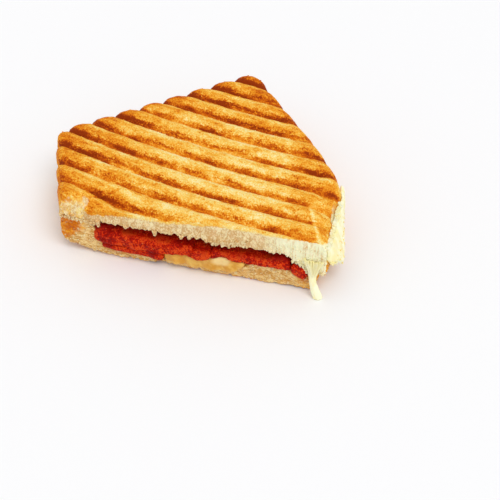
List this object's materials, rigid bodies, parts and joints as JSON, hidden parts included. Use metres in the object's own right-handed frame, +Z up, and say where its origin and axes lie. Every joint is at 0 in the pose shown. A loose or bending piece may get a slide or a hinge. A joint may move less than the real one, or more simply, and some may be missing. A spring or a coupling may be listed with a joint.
{
  "type": "mixed toastie",
  "caption": "Half of a toasted sandwich cut across: two ridged, grilled bread slices sealed at the rim around folded salami and melted cheese.",
  "frame": {"origin": "middle of the half's footprint, on the surface that the bottom slice rests on", "axes": "+X runs along the cut towards its right end, +Y away from the cut towards the back corner, +Z up through the top slice"},
  "size_m": [0.143, 0.115, 0.0314],
  "materials": {
    "top_crust": "dry toasted crust with pale crumb at the cut",
    "base_crust": "dry toasted crust with pale crumb at the cut",
    "salami": "oily and bumpy",
    "cheese": "melted, satin",
    "pale_cheese": "melted and stretched, glossy"
  },
  "bodies": {
    "root": {"top_slice": "top_crust", "bottom_slice": "base_crust", "salami_under": "salami", "salami_folded": "salami", "salami_tongue": "salami", "salami_right": "salami", "salami_tip": "salami", "cheese_layer": "cheese", "cheese_side": "pale_cheese", "cheese_drip": "pale_cheese"}
  },
  "joints": []
}
